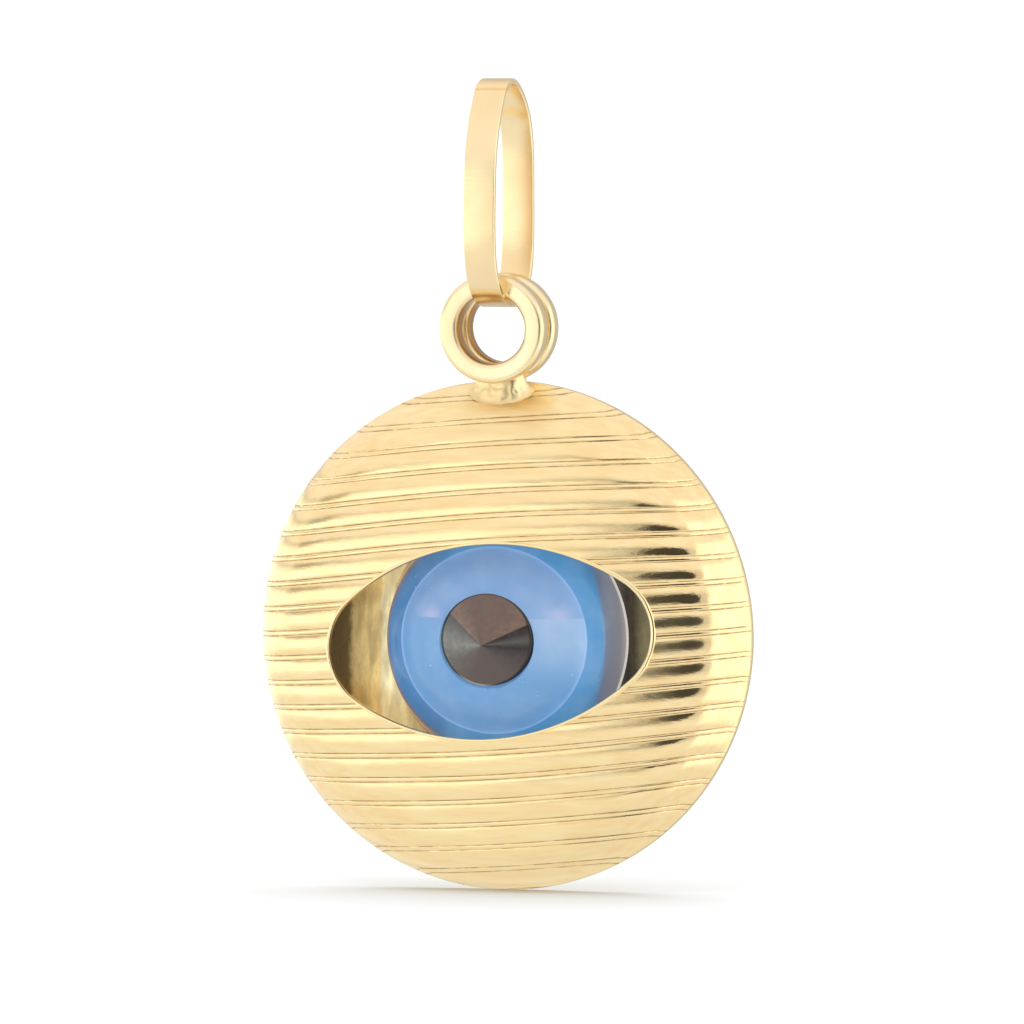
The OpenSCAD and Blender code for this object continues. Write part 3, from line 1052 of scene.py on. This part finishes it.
def smoky_glass():
    """Dark glass; its four sides are painted with tones mirrored from the room, and its lower
    edge carries a painted highlight.
    """
    mat, s, place = new_material("smoky glass")
    x, _, z = s.in_mm(place)
    turn = s.arctan2(s.subtract(z, EYE_Z + APEX[1]), s.subtract(x, APEX[0]))
    # Painted reflection: each sector around the point takes the tone it would mirror.
    painted_sides = s.ramp(s.share(s.degrees(turn), -180.0, 180.0), [
        (0.0, (0.22, 0.23, 0.215)), (0.09, (0.15, 0.135, 0.125)), (0.20, (0.125, 0.09, 0.085)),
        (0.36, (0.11, 0.085, 0.078)), (0.45, (0.06, 0.052, 0.048)), (0.49, (0.05, 0.045, 0.04)),
        (0.518, (0.17, 0.165, 0.155)), (0.55, (0.06, 0.05, 0.045)), (0.568, (0.03, 0.025, 0.022)),
        (0.572, (0.27, 0.17, 0.13)), (0.66, (0.17, 0.115, 0.09)), (0.80, (0.16, 0.11, 0.09)),
        (0.884, (0.28, 0.19, 0.15)), (0.889, (0.10, 0.105, 0.10)), (1.0, (0.22, 0.23, 0.215))])
    grit = s.grain(place, 5200.0)
    colour = s.blend(s.smooth(grit, 0.3, 0.7, 0.0, 0.45), painted_sides, (0.10, 0.085, 0.075))
    z = s.subtract(z, EYE_Z + PUPIL_UP)
    rim = s.smooth(s.length(x, z), 1.38, 1.42)
    colour = s.blend(s.multiply(rim, 0.85), colour, (0.02, 0.016, 0.014))
    # A painted highlight along the lower edge.
    lit = s.between(s.degrees(s.arctan2(z, x)), -125.0, -85.0, 12.0)
    colour = s.blend(s.product(lit, rim, 0.7), colour, (0.65, 0.58, 0.47))
    return set_shader(mat, {"Base Color": colour, "Metallic": 0.35,
                            "Roughness": s.smooth(grit, 0.3, 0.7, 0.10, 0.22)})


pupil_glass = smoky_glass()
print("glass materials", edge_glass.name, iris_glass.name, pupil_glass.name)

# %% Heights of the eye
GLASS_D, GLASS_H, IRIS_R, PUPIL_R, GAP = 7.96, 2.35, 2.92, 1.45, 0.02
BALL_R = ((GLASS_D / 2) ** 2 + GLASS_H ** 2) / (2 * GLASS_H)
FOOT_Y = BACK_Y - SHEET_T - GAP
BALL_Y = FOOT_Y + BALL_R - GLASS_H
IRIS_Y = BALL_Y - math.sqrt(BALL_R ** 2 - IRIS_R ** 2)
PUPIL_Y = BALL_Y - math.sqrt(BALL_R ** 2 - (PUPIL_R + GAP) ** 2)
SEAT = 0.30


def ball_point(r, inset=0.0):
    return (r, BALL_Y - math.sqrt((BALL_R - inset) ** 2 - r * r))


print("glass front %.3f, iris %.3f, pupil %.3f" % (BALL_Y - BALL_R, IRIS_Y, PUPIL_Y))

# %% Glass body
WALL_R, WALL_H, PULLED_IN = 3.58, 1.0, 0.12
side = rounded([(GLASS_D / 2, FOOT_Y), (WALL_R, FOOT_Y - WALL_H), (IRIS_R, IRIS_Y - 0.01)],
               0.20, 10)
body_profile = [(0, FOOT_Y), (GLASS_D / 2 - 0.02, FOOT_Y)] + [tuple(p) for p in side]
body_profile += [(IRIS_R - 0.01, IRIS_Y), (IRIS_R - 0.01, IRIS_Y + 0.04), (0, IRIS_Y + 0.04)]
glass_body = turned("glass_body", body_profile, EYE_Z)
for v in glass_body.vertices:
    x, z = v.co.x / MM, v.co.z / MM - EYE_Z
    down = min(max((v.co.y / MM - (FOOT_Y - WALL_H)) / WALL_H, 0), 1)
    r = math.hypot(x, z)
    if down and r > 3:
        keep = 1 - PULLED_IN * down * max(-x / r, 0) ** 4 / r
        v.co.x, v.co.z = x * keep * MM, (z * keep + EYE_Z) * MM
print("glass body: %d points" % len(glass_body.vertices))

# %% Iris and pupil
iris_profile = [(0, IRIS_Y), (IRIS_R - 0.03, IRIS_Y), (IRIS_R, IRIS_Y - 0.02)]
iris_profile += [ball_point(IRIS_R - 0.05 - 0.0645 * n) for n in range(22)]
iris_profile += [ball_point(PUPIL_R + GAP + 0.02), (PUPIL_R + GAP, PUPIL_Y + 0.03),
                 (PUPIL_R + GAP, PUPIL_Y + SEAT), (0, PUPIL_Y + SEAT)]
iris = turned("iris_dome", iris_profile, EYE_Z)
pupil_profile = [(0, PUPIL_Y + SEAT - GAP), (PUPIL_R, PUPIL_Y + SEAT - GAP),
                 (PUPIL_R, PUPIL_Y + 0.03), (PUPIL_R - 0.05, PUPIL_Y - 0.02)]
pupil_profile += [(PUPIL_R - 0.05 - 0.06 * n, PUPIL_Y - 0.02 - 0.0165 * n)
                  for n in range(1, 23)]
pupil_profile += [(0.03, PUPIL_Y - 0.405), (0, PUPIL_Y - 0.41)]
pupil = turned("pupil_cone", pupil_profile, EYE_Z + PUPIL_UP, shear=(-0.14, -0.41),
               from_y=PUPIL_Y)
for mesh, wide in ((glass_body, IRIS_WIDE), (iris, IRIS_WIDE), (pupil, 1.02)):
    for v in mesh.vertices:
        if math.hypot(v.co.x, v.co.z - EYE_Z * MM) < 3.05 * MM:
            v.co.x *= wide
for mesh, mat, sharp, slot, node in (
        (glass_body, edge_glass, 40, "blue_glass", "glass_eye"),
        (iris, iris_glass, 40, "iris_glass", "iris"),
        (pupil, pupil_glass, 50, "pupil_glass", "pupil")):
    mesh.materials.append(mat)
    show(mesh.name, shaded(mesh, sharp), "drop", slot, node)

# %% [markdown]
# ## Floor and light
# Jewellery is shot in a white tent, and a mirror-like metal shows the tent more than it
# shows itself. The world stands for the tent: a pale warm dome of light, a brighter band
# at eye level on the left and far right, and a dark gap on the right where the camera
# looks in. That gap gives the ribs their dark marks. Weaker shadows stand for the tent's
# seam and frame, the room behind the pendant and the legs of the stand.

# %% Floor
floor_z = case_lo.z - 0.01
floor_mesh = mesh_from("floor", [(-3000, -3000, floor_z), (3000, -3000, floor_z),
                                 (3000, 3000, floor_z), (-3000, 3000, floor_z)],
                       [(0, 1, 2, 3)], smooth=False)
floor_mesh.materials.append(set_shader(new_material("pale floor")[0], {
    "Base Color": (0.77, 0.80, 0.825, 1), "Roughness": 0.9, "Specular IOR Level": 0.1}))
floor = linked("floor", floor_mesh)
floor.visible_glossy = False
print("floor at %.3f mm" % floor_z)

# %% Light tent
world = bpy.data.worlds.new("light tent")
bpy.context.scene.world = world
world.use_nodes = True
wt = world.node_tree
ws = Colours(wt)
way = ws.put("ShaderNodeTexCoord", out=0)
wx, wy, wz = ws.put("ShaderNodeSeparateXYZ", way).node.outputs
azimuth = ws.degrees(ws.arctan2(wx, ws.multiply(wy, -1.0)))
height = ws.degrees(ws.arcsine(wz))
sky = ws.ramp(ws.share(height, -90.0, 90.0), [
    (0.0, (0.80, 0.78, 0.76)), (0.35, (0.90, 0.89, 0.875)), (0.5, (0.93, 0.92, 0.90)),
    (0.62, (0.955, 0.925, 0.91)), (1.0, (0.95, 0.93, 0.92))])
bpy.context.scene.view_settings.view_transform = "Standard"
print("light tent ready")


# %% Bright and dark patches of the tent
def patch(up, bottom, top, left, right, soft_up=3.0, soft_across=6.0):
    """A soft-edged patch, in degrees above eye level and to the right of the front."""
    return ws.multiply(ws.between(up, bottom, top, soft_up),
                       ws.between(azimuth, left, right, soft_across))


def bulge(value, half):
    return ws.power(ws.absolute(ws.divide(value, half)), 2.6)


left_band = ws.product(ws.between(height, -12.0, 9.0, 8.0),
                       ws.smooth(azimuth, -4.0, 8.0, 1.0, 0.0), 0.45)
right_band = ws.multiply(patch(height, -34.0, 30.0, 55.0, 130.0, 8.0, 3.0), 0.45)
gap = ws.smooth(ws.add(bulge(ws.subtract(azimuth, 26.0), 17.0), bulge(height, 14.0)),
                0.80, 1.14, 1.0, 0.0)
haze = ws.product(ws.smooth(azimuth, -24.0, 12.0), ws.smooth(azimuth, 49.0, 57.0, 1.0, 0.0),
                  ws.between(height, -16.0, 16.0, 7.0))
seam = patch(height, 12.0, 17.0, -150.0, -28.0, 3.0, 7.0)
frame_edge = patch(height, 9.0, 19.0, -80.0, -48.0)
behind = ws.multiply(ws.smooth(ws.absolute(azimuth), 135.0, 165.0),
                     ws.smooth(ws.absolute(height), 35.0, 60.0, 1.0, 0.0))
legs = patch(ws.absolute(height), 8.0, 13.0, -16.0, 16.0)
strength = ws.add(1.0, ws.add(left_band, right_band))
for shadow, depth in ((gap, 0.915), (haze, 0.26), (seam, 0.25), (frame_edge, 0.4),
                      (behind, 0.4), (legs, 0.35)):
    strength = ws.multiply(strength, ws.subtract(1.0, ws.multiply(shadow, depth)))
background = wt.nodes["Background"]
wt.links.new(sky, background.inputs["Color"])
wt.links.new(ws.multiply(strength, 1.06), background.inputs["Strength"])
print("light tent: %d nodes" % len(wt.nodes))

# %% Lamp above
lamp_data = bpy.data.lights.new("top_light", "SUN")
lamp_data.energy, lamp_data.angle = 1.5, math.radians(80)
lamp = linked("top_light", lamp_data)
lamp.visible_glossy = False
lamp.matrix_world = Vector((-0.10, 0.06, 1.0)).to_track_quat("Z", "Y").to_matrix().to_4x4()
print("lamp ready")
